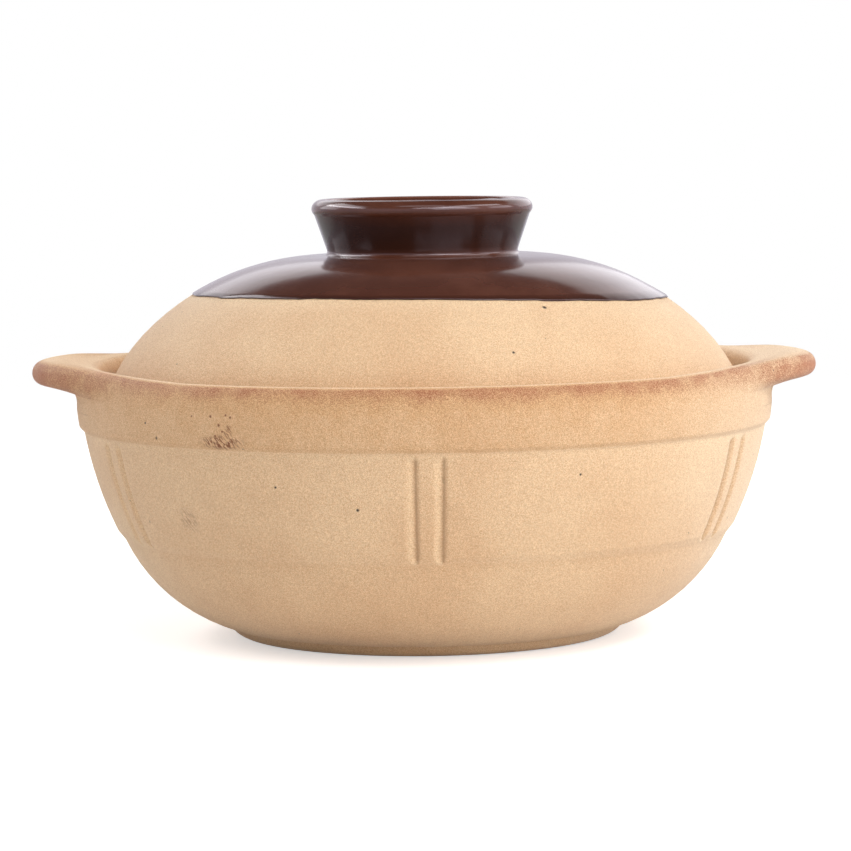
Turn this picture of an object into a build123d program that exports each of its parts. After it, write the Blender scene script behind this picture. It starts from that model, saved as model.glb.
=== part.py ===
from build123d import *
from math import cos, radians, sin
import os

# A covered sand pot: a stepped bowl of coarse clay with two flared ears and a glaze coat inside it,
# and a domed lid that lifts off, with a ring knob, dipped in brown glaze.
# Millimetres. The origin is the middle of the foot's flat face. Z is up, X runs through the ears,
# and the pot's front faces -Y.

os.makedirs("parts", exist_ok=True)

# Bowl radii, from the widest ring of the band down to the foot, each given by its step inwards
band_radius = 127.6
band_swell = 1.3
upper_step_reach = 1.3
panel_spread = 11.5
lower_step_reach = 2.6
bowl_spread = 36.4
foot_notch = 0.9
foot_lean = 4.0

# Bowl heights, from the table up to the rim, each given by its own rise
foot_height = 4.4
bowl_rise = 32.6
lower_step_rise = 3.2
panel_rise = 36.2
upper_step_rise = 2.0
band_rise = 8.6
shoulder_rise = 11.9

# How far the bowl's curves stand out from their chords, and how its corners are rounded
bowl_bulge = 5.1
panel_bulge = 1.35
foot_edge_round = 8.0
step_round = 0.8

# Clay between the outside and the hollow
wall = 8.5
floor_thickness = 7.0
floor_blend = 25.6
rim_thickness = 9.6
rim_inner_round = 4.0

# The gallery inside the rim, with the ledge that carries the lid
gallery_depth = 7.9
gallery_corner_round = 1.0
ledge_thickness = 4.0
ledge_overlap = 1.5
ledge_edge_round = 1.4

# Pairs of grooves pressed into the panel
groove_pairs = 6
groove_first_angle = 30.0
groove_pair_angle = 4.4
groove_width = 3.6
groove_depth = 1.3
groove_end_gap = 1.2

# Ears, drawn out of the rim, highest and furthest out at their middle
ear_reach = 16.2
ear_root_inset = 2.2
ear_half_angle = 36.0
ear_flare_power = 3.2
ear_section_count = 9
ear_lift = 2.9
ear_root_sink = 0.7
ear_tip_thickness = 8.6
ear_root_thickness = 10.0
ear_edge_round = 4.0
ear_under_drop = 9.9
ear_inner_inset = 2.0

# Lid, a dome of two arcs that meet at its shoulder
lid_play = 4.0
lid_wall = 7.0
lid_rise = 47.4
lid_edge_height = 4.0
lid_edge_round_share = 0.4
lid_shoulder_radius_share = 0.871
lid_shoulder_height_share = 0.487

# Knob, a ring that stands on the lid's crown and flares up to a rounded bead
knob_neck_radius = 34.7
knob_neck_foot = 2.2
knob_neck_rise = 4.2
knob_wall = 5.0
knob_lip_reach = 5.3
knob_height = 20.4
knob_bead_width = 3.6
knob_bead_height = 3.0
knob_bead_notch = 0.5
knob_bead_notch_drop = 1.5
knob_inner_round = 2.5
knob_floor_round = 2.5

# Glaze coats
glaze_thickness = 0.5
lid_glaze_drop = 13.0
bowl_glaze_stop = 1.8

# By how much a cutter passes what it cuts
cut_overrun = 5.0
quarter_turn = 90.0
middle_share = 0.5

# Levels and radii worked out from the sizes above
bowl_top_height = foot_height + bowl_rise
panel_foot_height = bowl_top_height + lower_step_rise
panel_top_height = panel_foot_height + panel_rise
band_foot_height = panel_top_height + upper_step_rise
band_height = band_foot_height + band_rise
rim_height = band_height + shoulder_rise
ledge_height = rim_height - gallery_depth

band_foot_radius = band_radius - band_swell
panel_top_radius = band_foot_radius - upper_step_reach
panel_foot_radius = panel_top_radius - panel_spread
bowl_top_radius = panel_foot_radius - lower_step_reach
bowl_foot_radius = bowl_top_radius - bowl_spread
foot_top_radius = bowl_foot_radius - foot_notch
foot_radius = foot_top_radius - foot_lean

gallery_radius = band_radius - rim_thickness
crest_radius = gallery_radius + rim_inner_round
lid_radius = gallery_radius - lid_play
seat_inner_radius = lid_radius - lid_wall
mouth_radius = seat_inner_radius - ledge_overlap

crown_height = ledge_height + lid_rise
crown_radius = knob_neck_radius + knob_neck_foot
lid_shoulder_radius = lid_radius * lid_shoulder_radius_share
lid_shoulder_height = ledge_height + lid_rise * lid_shoulder_height_share
lid_edge_round = lid_edge_height * lid_edge_round_share
lid_glaze_height = crown_height - lid_glaze_drop

knob_crest_height = crown_height + knob_height
knob_lip_radius = knob_neck_radius + knob_lip_reach
knob_crest_radius = knob_lip_radius - knob_bead_width

groove_tool_radius = (groove_width**2 / 4 + groove_depth**2) / (2 * groove_depth)
groove_stand_off = groove_tool_radius - groove_depth

# The outlines below are drawn in the half plane right of the pot's axis: radius first, then height.
with BuildLine():
    bowl_side = SagittaArc((bowl_foot_radius, foot_height), (bowl_top_radius, bowl_top_height), -bowl_bulge)
with BuildLine():
    panel_side = SagittaArc(
        (panel_foot_radius, panel_foot_height),
        (panel_top_radius, panel_top_height),
        -panel_bulge,
    )


def beside(curve, share, gap):
    """The point this share of the way along a curve, moved this far to the right of its heading."""
    spot, heading = curve @ share, curve % share
    return (spot.X + heading.Y * gap, spot.Y - heading.X * gap)


def corner(sketch, radius, height):
    """The corner of a sketch that is nearest to this place."""
    return sketch.vertices().sort_by_distance((radius, height))[0]


def draw_bowl_outside():
    """The bowl's outside and its gallery, as if the bowl were solid up to the ledge."""
    Polyline(
        (0, ledge_height),
        (0, 0),
        (foot_radius, 0),
        (foot_top_radius, foot_height),
        (bowl_foot_radius, foot_height),
    )
    add(bowl_side)
    Line((bowl_top_radius, bowl_top_height), (panel_foot_radius, panel_foot_height))
    add(panel_side)
    Line((panel_top_radius, panel_top_height), (band_foot_radius, band_foot_height))
    TangentArc((band_radius, band_height), (band_foot_radius, band_foot_height), tangent=(0, -1))
    EllipticalCenterArc(
        (crest_radius, band_height),
        x_radius=band_radius - crest_radius,
        y_radius=shoulder_rise,
        start_angle=0,
        arc_size=quarter_turn,
    )
    gallery_top = (gallery_radius, rim_height - rim_inner_round)
    TangentArc((crest_radius, rim_height), gallery_top, tangent=(-1, 0))
    Polyline(gallery_top, (gallery_radius, ledge_height), (0, ledge_height))


def draw_bowl_hollow(inset, top):
    """The space in the bowl, from its floor to this level, this far in from the clay."""
    floor_level = floor_thickness + inset
    inner_low = beside(bowl_side, 1, -wall - inset)
    inner_high = beside(panel_side, 1, -wall - inset)
    floor_line = Line((0, floor_level), (foot_radius - floor_blend, floor_level))
    low_arc = TangentArc(floor_line @ 1, inner_low, tangent=(1, 0))
    TangentArc(inner_low, inner_high, tangent=low_arc % 1)
    Polyline(
        inner_high,
        (mouth_radius - inset, ledge_height - ledge_thickness),
        (mouth_radius - inset, top),
        (0, top),
        (0, floor_level),
    )


def draw_dome_top(depth):
    """The two arcs of the dome with the crown between them and the axis, this deep under the clay."""
    clay_arc = TangentArc(
        (crown_radius, crown_height),
        (lid_shoulder_radius, lid_shoulder_height),
        tangent=(1, 0),
        mode=Mode.PRIVATE,
    )
    crown = Line((0, crown_height - depth), (crown_radius, crown_height - depth))
    shoulder_arc = TangentArc(crown @ 1, beside(clay_arc, 1, depth), tangent=(1, 0))
    return crown @ 0, shoulder_arc


def draw_dome(grow):
    """The lid without its knob, as if it were solid under its dome, this much larger than the clay."""
    axis_top, shoulder_arc = draw_dome_top(-grow)
    edge_top = (lid_radius + grow, ledge_height + lid_edge_height)
    TangentArc(shoulder_arc @ 1, edge_top, tangent=shoulder_arc % 1)
    Polyline(edge_top, (lid_radius + grow, ledge_height), (0, ledge_height), axis_top)


def draw_dome_hollow():
    """The space under the lid."""
    axis_top, shoulder_arc = draw_dome_top(lid_wall)
    TangentArc(shoulder_arc @ 1, (seat_inner_radius, ledge_height), tangent=shoulder_arc % 1)
    Polyline((seat_inner_radius, ledge_height), (0, ledge_height), axis_top)


def draw_knob(grow):
    """The section of the knob's ring, this much larger than the clay."""
    bead_level = knob_crest_height - knob_bead_height
    neck_top = (knob_neck_radius + grow, crown_height + knob_neck_rise)
    neck_foot = (crown_radius + grow, crown_height)
    crest = (knob_crest_radius, knob_crest_height + grow)
    inner_radius = knob_neck_radius - knob_wall - grow
    inner_top = (knob_crest_radius - knob_inner_round - grow, knob_crest_height - knob_inner_round)
    inner_foot = (inner_radius, crown_height + knob_floor_round)
    floor_edge = (inner_radius - knob_floor_round, crown_height)
    TangentArc(neck_top, neck_foot, tangent=(0, -1))
    Polyline(
        neck_top,
        (knob_lip_radius + grow - knob_bead_notch, bead_level - knob_bead_notch_drop),
        (knob_lip_radius + grow, bead_level),
    )
    EllipticalCenterArc(
        (knob_crest_radius, bead_level),
        x_radius=knob_bead_width + grow,
        y_radius=knob_bead_height + grow,
        start_angle=0,
        arc_size=quarter_turn,
    )
    TangentArc(crest, inner_top, tangent=(-1, 0))
    Line(inner_top, inner_foot)
    TangentArc(inner_foot, floor_edge, tangent=(0, -1))
    Line(floor_edge, neck_foot)


# A round-ended rod, bent like the panel's side, that presses one groove into it
groove_end_share = (groove_end_gap + groove_tool_radius) / panel_side.length

with BuildPart() as groove_tool:
    with BuildLine(Plane.XZ) as groove_path:
        ThreePointArc(
            beside(panel_side, groove_end_share, groove_stand_off),
            beside(panel_side, middle_share, groove_stand_off),
            beside(panel_side, 1 - groove_end_share, groove_stand_off),
        )
    with BuildSketch(Plane(origin=groove_path.line @ 0, z_dir=groove_path.line % 0)):
        Circle(groove_tool_radius)
    sweep()
    with Locations(groove_path.line @ 0, groove_path.line @ 1):
        Sphere(groove_tool_radius)

# Bowl
with BuildPart() as pot_bowl:
    with BuildSketch(Plane.XZ) as bowl_section:
        with BuildLine():
            draw_bowl_outside()
        make_face()
        with BuildLine():
            draw_bowl_hollow(0, ledge_height)
        make_face(mode=Mode.SUBTRACT)
        fillet(corner(bowl_section, foot_radius, 0), foot_edge_round)
        fillet(corner(bowl_section, panel_foot_radius, panel_foot_height), step_round)
        fillet(corner(bowl_section, band_foot_radius, band_foot_height), step_round)
        fillet(corner(bowl_section, gallery_radius, ledge_height), gallery_corner_round)
        fillet(corner(bowl_section, mouth_radius, ledge_height), ledge_edge_round)
        fillet(corner(bowl_section, mouth_radius, ledge_height - ledge_thickness), ledge_edge_round)
    revolve(axis=Axis.Z)
    for side in (-1, 1):
        with PolarLocations(0, groove_pairs, start_angle=groove_first_angle + side * groove_pair_angle / 2):
            add(groove_tool.part, mode=Mode.SUBTRACT)

pot_bowl.part.label = "pot_bowl"
export_step(pot_bowl.part, "parts/pot_bowl.step")

# Glaze inside the bowl, from the floor up to the ledge's lip
with BuildPart() as bowl_glaze:
    with BuildSketch(Plane.XZ):
        with BuildLine():
            draw_bowl_hollow(0, ledge_height - bowl_glaze_stop)
        make_face()
        with BuildLine():
            draw_bowl_hollow(glaze_thickness, ledge_height)
        make_face(mode=Mode.SUBTRACT)
    revolve(axis=Axis.Z)
    add(pot_bowl.part, mode=Mode.SUBTRACT)

bowl_glaze.part.label = "bowl_glaze"
export_step(bowl_glaze.part, "parts/bowl_glaze.step")

# Ears: sections across the ear, turned about the pot's axis and lofted, less the bowl that they grow from
with BuildPart() as right_ear:
    for step in range(ear_section_count):
        turn = ear_half_angle * (2 * step / (ear_section_count - 1) - 1)
        rise_share = max(cos(radians(quarter_turn * turn / ear_half_angle)), 0)
        reach_share = rise_share**ear_flare_power
        thickness = ear_root_thickness + (ear_tip_thickness - ear_root_thickness) * reach_share
        edge_radius = band_radius - ear_root_inset + (ear_reach + ear_root_inset) * reach_share
        inner_radius = crest_radius - ear_inner_inset
        top = rim_height - ear_root_sink + (ear_lift + ear_root_sink) * rise_share
        inner_top = rim_height - ear_root_sink * (1 - rise_share)
        outward = Vector(cos(radians(turn)), sin(radians(turn)))
        with BuildSketch(Plane(origin=(0, 0), x_dir=outward, z_dir=(outward.Y, -outward.X))):
            with BuildLine():
                ThreePointArc(
                    (edge_radius - ear_edge_round, top - thickness),
                    (edge_radius, top - thickness / 2),
                    (edge_radius - ear_edge_round, top),
                )
                Polyline(
                    (edge_radius - ear_edge_round, top),
                    (inner_radius, inner_top),
                    (inner_radius, rim_height - ear_under_drop),
                    (edge_radius - ear_edge_round, top - thickness),
                )
            make_face()
    loft()
    add(pot_bowl.part, mode=Mode.SUBTRACT)

right_ear.part.label = "right_ear"
export_step(right_ear.part, "parts/right_ear.step")

with BuildPart() as left_ear:
    mirror(right_ear.part, about=Plane.YZ)

left_ear.part.label = "left_ear"
export_step(left_ear.part, "parts/left_ear.step")

# Lid, resting flat on the ledge
with BuildPart() as lid_dome:
    with BuildSketch(Plane.XZ) as dome_section:
        with BuildLine():
            draw_dome(0)
        make_face()
        with BuildLine():
            draw_dome_hollow()
        make_face(mode=Mode.SUBTRACT)
        fillet(corner(dome_section, lid_radius, ledge_height), lid_edge_round)
        fillet(corner(dome_section, lid_radius, ledge_height + lid_edge_height), lid_edge_round)
    revolve(axis=Axis.Z)

lid_dome.part.label = "lid_dome"
export_step(lid_dome.part, "parts/lid_dome.step")

with BuildPart() as lid_knob:
    with BuildSketch(Plane.XZ):
        with BuildLine():
            draw_knob(0)
        make_face()
    revolve(axis=Axis.Z)

lid_knob.part.label = "lid_knob"
export_step(lid_knob.part, "parts/lid_knob.step")

# Glaze over the top of the lid, down to the level that it was dipped to, and over all of the knob
with BuildPart() as lid_glaze:
    with BuildSketch(Plane.XZ):
        with BuildLine():
            draw_dome(glaze_thickness)
        make_face()
        with BuildLine():
            draw_knob(glaze_thickness)
        make_face()
        with BuildLine():
            draw_dome(0)
        make_face(mode=Mode.SUBTRACT)
        with BuildLine():
            draw_knob(0)
        make_face(mode=Mode.SUBTRACT)
        with Locations((0, lid_glaze_height)):
            Rectangle(
                lid_radius + cut_overrun,
                lid_rise + cut_overrun,
                align=(Align.MIN, Align.MAX),
                mode=Mode.SUBTRACT,
            )
    revolve(axis=Axis.Z)

lid_glaze.part.label = "lid_glaze"
export_step(lid_glaze.part, "parts/lid_glaze.step")
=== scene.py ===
import math

import bpy
from bpy.props import FloatProperty, FloatVectorProperty, IntProperty, PointerProperty
from mathutils import Matrix, Vector


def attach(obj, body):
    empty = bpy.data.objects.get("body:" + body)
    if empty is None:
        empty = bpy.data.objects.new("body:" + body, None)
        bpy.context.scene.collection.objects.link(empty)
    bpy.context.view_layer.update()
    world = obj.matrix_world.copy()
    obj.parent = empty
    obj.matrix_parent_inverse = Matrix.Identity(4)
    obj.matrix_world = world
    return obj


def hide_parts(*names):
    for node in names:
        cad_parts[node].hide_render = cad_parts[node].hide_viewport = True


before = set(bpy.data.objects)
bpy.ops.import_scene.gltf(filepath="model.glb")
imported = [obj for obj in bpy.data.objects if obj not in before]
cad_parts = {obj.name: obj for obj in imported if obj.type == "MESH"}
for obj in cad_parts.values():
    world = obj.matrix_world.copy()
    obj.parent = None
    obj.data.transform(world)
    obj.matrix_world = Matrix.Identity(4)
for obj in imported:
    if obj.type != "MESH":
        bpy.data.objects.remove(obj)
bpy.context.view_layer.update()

bl_info = {
    "name": "Covered Sand Pot",
    "version": (1, 0, 0),
    "blender": (4, 5, 0),
    "location": "View3D > Sidebar > Sand Pot",
    "description": "Dresses a covered clay sand pot: stepped bowl, flared ears, glazed lid with a ring knob",
    "category": "Object",
}

MM = 0.001
WHITE = (1.0, 1.0, 1.0)
BLACK = (0.0, 0.0, 0.0)

# Sizes in millimetres, and corners as their radius and height from the middle of the foot. They follow
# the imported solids, apart from the band, the rim beside the ears and the knob's neck, which follow the
# photograph.
FOOT_HEIGHT, FOOT_TOP_RADIUS = 4.4, 73.6
FOOT_EDGE_TOP, FOOT_EDGE_END = (72.0, 2.64), (66.05, 0)
BOWL_FOOT, BOWL_TOP, BOWL_BULGE = (74.5, FOOT_HEIGHT), (110.9, 37.0), 5.1
PANEL_FOOT, PANEL_TOP, PANEL_BULGE = (113.5, 40.2), (125.0, 76.4), 1.35
BAND_FOOT, BAND_TOP, BAND_BULGE = (126.7, 78.3), (127.25, 87.0), 0.16
CREST_RADIUS, RIM_HEIGHT, RIM_INNER_ROUND, GALLERY_RADIUS = 122.0, 98.9, 4, 118.0
LEDGE_HEIGHT, LEDGE_FOOT_HEIGHT, MOUTH_RADIUS = 91.0, 87.0, 105.5
WALL, FLOOR_HEIGHT, FLOOR_RADIUS = 8.5, 7.0, 44.0
LID_RADIUS, LID_WALL, LID_EDGE_HEIGHT = 114.0, 7.0, 95.0
CROWN, SHOULDER = (36.9, 138.4), (99.294, 114.084)
CROWN_RADIUS, CROWN_HEIGHT = CROWN
NECK_RADIUS, NECK_HEIGHT, NECK_FOOT_RADIUS, KNOB_WALL = 34.5, 140.7, 36.0, 4.8
LIP_RADIUS, LIP_HEIGHT, LIP_NOTCH, LIP_FOOT_HEIGHT = 40.0, 155.8, 0.5, 154.3
KNOB_CREST_RADIUS, KNOB_CREST_HEIGHT, KNOB_ROUND = 36.4, 158.8, 2.5
COAT = 0.5
DIP_HEIGHT = 125.4

# ---------------------------------------------------------------- settings

LENGTH = {"subtype": "DISTANCE", "unit": "LENGTH"}
TURN = {"subtype": "ANGLE", "unit": "ROTATION"}
COLOUR = {"size": 3, "subtype": "COLOR", "min": 0, "max": 1}
POWER = {"min": 0, "unit": "POWER"}


class BowlSettings(bpy.types.PropertyGroup):
    sides: IntProperty(
        name="Sides", description="Flat sides that the bowl is turned with", default=540, min=60, max=700)
    crowding: FloatProperty(
        name="Crowding", description="How much closer together the sides are at the grooves",
        default=0.8, min=0, max=0.9, subtype="FACTOR")
    wobble: FloatProperty(
        name="Wobble", description="How far the wall wanders in from a true circle",
        default=0.35 * MM, min=0, max=2 * MM, **LENGTH)
    softness: FloatProperty(
        name="Softness", description="How far a corner of the bowl is worn back",
        default=0.28 * MM, min=0.2 * MM, max=4 * MM, **LENGTH)
    groove_pairs: IntProperty(
        name="Groove Pairs", description="Pairs of grooves round the panel", default=6, min=1, max=12)
    groove_first_angle: FloatProperty(
        name="First Pair", description="Turn of the first pair from the right ear",
        default=math.radians(30.63), **TURN)
    groove_pair_spread: FloatProperty(
        name="Pair Spread", description="How far the pairs keep away from the ears",
        default=math.radians(2.9), min=0, **TURN)
    groove_pair_angle: FloatProperty(
        name="Pair Angle", description="Turn between the two grooves of a pair",
        default=math.radians(4.45), min=0, **TURN)
    groove_width: FloatProperty(
        name="Groove Width", description="Width of a groove between its soft shoulders",
        default=4.9 * MM, min=1 * MM, max=10 * MM, **LENGTH)
    groove_depth: FloatProperty(
        name="Groove Depth", description="Depth that a groove is pressed in",
        default=1.6 * MM, min=0, max=4 * MM, **LENGTH)
    groove_lean: FloatProperty(
        name="Groove Lean", description="Share of the width that the long wall of a groove takes",
        default=0.8, min=0.2, max=0.8, subtype="FACTOR")


class LidSettings(bpy.types.PropertyGroup):
    sides: IntProperty(
        name="Sides", description="Flat sides that the lid is turned with", default=400, min=60, max=600)
    dip_tilt: FloatProperty(
        name="Dip Tilt", description="How far the glaze line runs down on one side of the lid",
        default=2.9 * MM, max=4 * MM, **LENGTH)
    dip_sway: FloatProperty(
        name="Dip Sway", description="How far the glaze line sways twice in a turn",
        default=2.3 * MM, max=4 * MM, **LENGTH)
    dip_ripple: FloatProperty(
        name="Dip Ripple", description="Height of the small waves in the glaze line",
        default=1.3 * MM, max=4 * MM, **LENGTH)
    ripple_seed: IntProperty(
        name="Ripple Seed", description="Picks another run of small waves", default=4)


class ClaySettings(bpy.types.PropertyGroup):
    buff: FloatVectorProperty(
        name="Buff", description="Main colour of the fired clay", default=(0.76, 0.495, 0.285), **COLOUR)
    # Pale is also laid where the tone is below 0: as painted highlights under the steps, along the crest and
    # on the grooves' long walls, and in the band under the lid's glaze line.
    pale: FloatVectorProperty(
        name="Pale", description="Colour of the clay's light clouds and of its rubbed edges",
        default=(0.87, 0.635, 0.4), **COLOUR)
    # Painted light: the pale colour that the clay's right side is painted, where the light falls on it
    # brightest.
    painted_light: FloatVectorProperty(
        name="Painted Light", description="Colour of the side that the kiln's ash paled",
        default=(0.9, 0.72, 0.52), **COLOUR)
    ochre: FloatVectorProperty(
        name="Ochre", description="Colour of the clay's dark patches", default=(0.55, 0.31, 0.15), **COLOUR)
    amber: FloatVectorProperty(
        name="Amber", description="Colour where the flame only brushed the clay",
        default=(0.68, 0.4, 0.195), **COLOUR)
    flame: FloatVectorProperty(
        name="Flame", description="Colour where the flame reached the rim and ears",
        default=(0.455, 0.175, 0.08), **COLOUR)
    iron: FloatVectorProperty(
        name="Iron", description="Colour of the iron specks", default=(0.035, 0.016, 0.01), **COLOUR)
    grain: FloatProperty(
        name="Grain", description="Size of a sand grain",
        default=0.32 * MM, min=0.1 * MM, max=4 * MM, **LENGTH)


class GlazeSettings(bpy.types.PropertyGroup):
    brown: FloatVectorProperty(
        name="Brown", description="Colour of the thick glaze", default=(0.078, 0.0235, 0.0125), **COLOUR)
    thin: FloatVectorProperty(
        name="Thin", description="Colour where the glaze has run thin over an edge",
        default=(0.2, 0.075, 0.046), **COLOUR)
    # The darkest colour is the glaze pooled at its lower edge, and also the painted shade on the knob's neck
    # under the lip.
    darkest_glaze: FloatVectorProperty(
        name="Darkest Glaze", description="Colour where the glaze has gathered at its lower edge",
        default=(0.022, 0.008, 0.005), **COLOUR)


class StageSettings(bpy.types.PropertyGroup):
    lens: FloatProperty(
        name="Lens", description="Focal length of the camera", default=154.4, min=20, unit="CAMERA")
    key_power: FloatProperty(
        name="Key Power", description="Power of the two soft boxes at the front right", default=22.0, **POWER)
    right_power: FloatProperty(
        name="Right Power", description="Power of the low soft box on the right", default=3.8, **POWER)
    left_power: FloatProperty(
        name="Left Power", description="Power of the two soft boxes on the left", default=12.5, **POWER)
    front_power: FloatProperty(
        name="Front Power", description="Power of the soft box above the front", default=3.0, **POWER)
    back_power: FloatProperty(
        name="Back Power", description="Power of the two soft boxes behind the pot", default=5.5, **POWER)
    gleam_power: FloatProperty(
        name="Gleam Power", description="Power of each of the two cards that only gleam in the glaze",
        default=9.0, **POWER)
    room: FloatProperty(
        name="Room", description="Strength of the pale room's light on the pot", default=0.5, min=0, max=1)
    floor_glow: FloatProperty(
        name="Floor Glow", description="Strength that the floor has of its own where it is seen",
        default=0.5, min=0, max=1)
    floor: FloatVectorProperty(
        name="Floor", description="Colour of the floor", default=(0.84, 0.84, 0.84), **COLOUR)


# ---------------------------------------------------------------- outlines

TINY = 1e-6
WORN_STEP = 0.2  # millimetres between the points that wear a corner back
SHORTEST = 0.15  # millimetres between the points that thinning keeps
INSIDE_TONE = 0.12


def clamped(share):
    """A share kept between 0 and 1."""
    return max(0.0, min(1.0, share))


def eased(share):
    """A share from 0 to 1 with a soft start and a soft end."""
    share = clamped(share)
    return share * share * (3 - 2 * share)


def way_from(start, end):
    """The way from one point to another."""
    return (end[0] - start[0], end[1] - start[1])


def last_way(points):
    """The way that a run of points has at its end."""
    return way_from(points[-2], points[-1])


def turned(vector, angle):
    """A flat vector, turned to the left."""
    cos, sin = math.cos(angle), math.sin(angle)
    return (vector[0] * cos - vector[1] * sin, vector[0] * sin + vector[1] * cos)


def arc(start, heading, end, pieces=24):
    """The points after start on the arc that leaves it along a heading and ends at end."""
    chord = way_from(start, end)
    side = heading[0] * chord[1] - heading[1] * chord[0]
    sweep = 2 * math.atan2(side, heading[0] * chord[0] + heading[1] * chord[1])
    if abs(sweep) < TINY:
        return [end]
    length = math.hypot(*heading)
    reach = (chord[0] ** 2 + chord[1] ** 2) * length / (2 * side)
    centre = (start[0] - heading[1] / length * reach, start[1] + heading[0] / length * reach)
    spoke = way_from(centre, start)
    spokes = [turned(spoke, sweep * i / pieces) for i in range(1, pieces + 1)]
    return [(centre[0] + x, centre[1] + y) for x, y in spokes]


def bulge_lean(chord, sagitta):
    """The angle between a chord and the ends of an arc that stands out from it by the sagitta."""
    return 2 * math.atan2(2 * sagitta, math.hypot(*chord))


def bulge(start, end, sagitta, pieces=24):
    """The points after start on an arc that stands out to the right of its chord by the sagitta."""
    chord = way_from(start, end)
    return arc(start, turned(chord, -bulge_lean(chord, sagitta)), end, pieces)


def beside(start, end, sagitta, gap):
    """The point left of the end of such an arc, by a gap."""
    chord = way_from(start, end)
    heading = turned(chord, bulge_lean(chord, sagitta))
    length = math.hypot(*heading)
    return (end[0] - heading[1] / length * gap, end[1] + heading[0] / length * gap)


def quarter(centre, wide, high, first, pieces=16):
    """The points of a quarter of an ellipse, run against the clock from a first angle in quarters."""
    angles = [(first + i / pieces) * math.pi / 2 for i in range(pieces + 1)]
    return [(centre[0] + wide * math.cos(a), centre[1] + high * math.sin(a)) for a in angles]


def spaced(points, gap):
    """The same run of points, cut into equal steps of about this gap."""
    lengths = [0.0]
    for a, b in zip(points, points[1:]):
        lengths.append(lengths[-1] + math.dist(a, b))
    count = max(2, round(lengths[-1] / gap))
    made, k = [], 0
    for i in range(count + 1):
        wanted = lengths[-1] * i / count
        while k < len(lengths) - 2 and lengths[k + 1] < wanted:
            k += 1
        span = lengths[k + 1] - lengths[k]
        share = (wanted - lengths[k]) / span if span else 0
        made.append(tuple(p + (q - p) * share for p, q in zip(points[k], points[k + 1])))
    return made


def softened(points, reach):
    """An outline with its corners worn back by about this reach, and its ends kept."""
    points = spaced(points, WORN_STEP)
    half = max(1, round(reach / WORN_STEP))
    for _ in range(2):
        last = len(points) - 1
        worn = []
        for i in range(last + 1):
            width = min(half, i, last - i)
            window = points[i - width:i + width + 1]
            worn.append(tuple(sum(axis) / len(window) for axis in zip(*window)))
        points = worn
    return points


def thinned(points, turn=8.0, longest=6.0, crowded=()):
    """Fewer points: one wherever the outline has turned this many degrees or run this far.

    Crowded holds the middle and reach of places where the points are packed ten times closer.
    """
    kept, heading = [points[0]], None
    for before, here in zip(points, points[1:]):
        if math.dist(before, here) < TINY:
            continue
        x, y = way_from(before, here)
        way = math.atan2(y, x)
        if heading is None:
            heading = way
        bent = abs((way - heading + math.pi) % math.tau - math.pi)
        packed = any(math.dist(here, middle) < reach for middle, reach in crowded)
        limit = longest / 10 if packed else longest
        if bent > math.radians(turn) or math.dist(kept[-1], here) > limit:
            if math.dist(kept[-1], before) > SHORTEST:
                kept.append(before)
            heading = way
    if math.dist(kept[-1], points[-1]) < SHORTEST:
        kept.pop()
    return kept + [points[-1]]


def moved_in(points, gap):
    """An outline moved to the right of its heading by a gap, in step with the first one."""
    made = []
    for i, point in enumerate(points):
        before, after = points[max(i - 1, 0)], points[min(i + 1, len(points) - 1)]
        x, y = way_from(before, after)
        length = math.dist(before, after)
        made.append((point[0] + y / length * gap, point[1] - x / length * gap))
    return made


def hollow_outline(inset):
    """The inside of the bowl from the middle of its floor up to the wall under the ledge."""
    low = beside(BOWL_FOOT, BOWL_TOP, BOWL_BULGE, WALL + inset)
    high = beside(PANEL_FOOT, PANEL_TOP, PANEL_BULGE, WALL + inset)
    corner = (FLOOR_RADIUS, FLOOR_HEIGHT + inset)
    lower = arc(corner, (1, 0), low)
    return [(0, corner[1]), corner, *lower, *arc(low, last_way(lower), high)]


def rim_outline():
    """The outside of the rim, from the wall of the gallery over the crest and down to the band."""
    radius, height = BAND_TOP
    shoulder = quarter((CREST_RADIUS, height), radius - CREST_RADIUS, RIM_HEIGHT - height, 0)
    middle = (CREST_RADIUS, RIM_HEIGHT - RIM_INNER_ROUND)
    inner = quarter(middle, CREST_RADIUS - GALLERY_RADIUS, RIM_INNER_ROUND, 1, 8)
    return [*reversed(inner), *reversed(shoulder[:-1])]


def bowl_outline(softness):
    """The section of the bowl, from the middle of its floor over the rim to the middle of its foot."""
    ledge = [(MOUTH_RADIUS, LEDGE_FOOT_HEIGHT), (MOUTH_RADIUS, LEDGE_HEIGHT), (GALLERY_RADIUS, LEDGE_HEIGHT)]
    band = [*reversed(bulge(BAND_FOOT, BAND_TOP, BAND_BULGE, 8)), BAND_FOOT]
    panel = [*reversed(bulge(PANEL_FOOT, PANEL_TOP, PANEL_BULGE)), PANEL_FOOT]
    bowl = [*reversed(bulge(BOWL_FOOT, BOWL_TOP, BOWL_BULGE)), BOWL_FOOT]
    foot_edge = [FOOT_EDGE_TOP, *arc(FOOT_EDGE_TOP, (-2.0, -2.2), FOOT_EDGE_END, 8)]
    points = [
        *hollow_outline(0), *ledge, *rim_outline(), *band, *panel, *bowl,
        (FOOT_TOP_RADIUS, FOOT_HEIGHT), *foot_edge, (0, 0),
    ]
    return softened(points, softness)


# Heights, and how strongly the flame browned the bowl's outside there. Near 37 mm a thin line is painted
# darker as shade at the lower step; below 0 the clay is painted paler as a highlight just under both steps
# and along the crest, which is also worn pale.
FLAME_AND_PAINTED_LINE_STOPS = (
    (0, 0.22), (4, 0.1), (33, 0.02), (36.2, -0.1), (36.8, 0.1), (37.4, 0.1), (38.4, 0), (73, 0),
    (75.8, -0.25), (76.6, -0.2), (77.2, 0.3), (78.4, 0.32), (80.5, 0.28), (88, 0.34), (93, 0.52),
    (96.5, 0.8), (98.1, 0.88), (98.6, 0.35), (98.85, -0.3),
)


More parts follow.
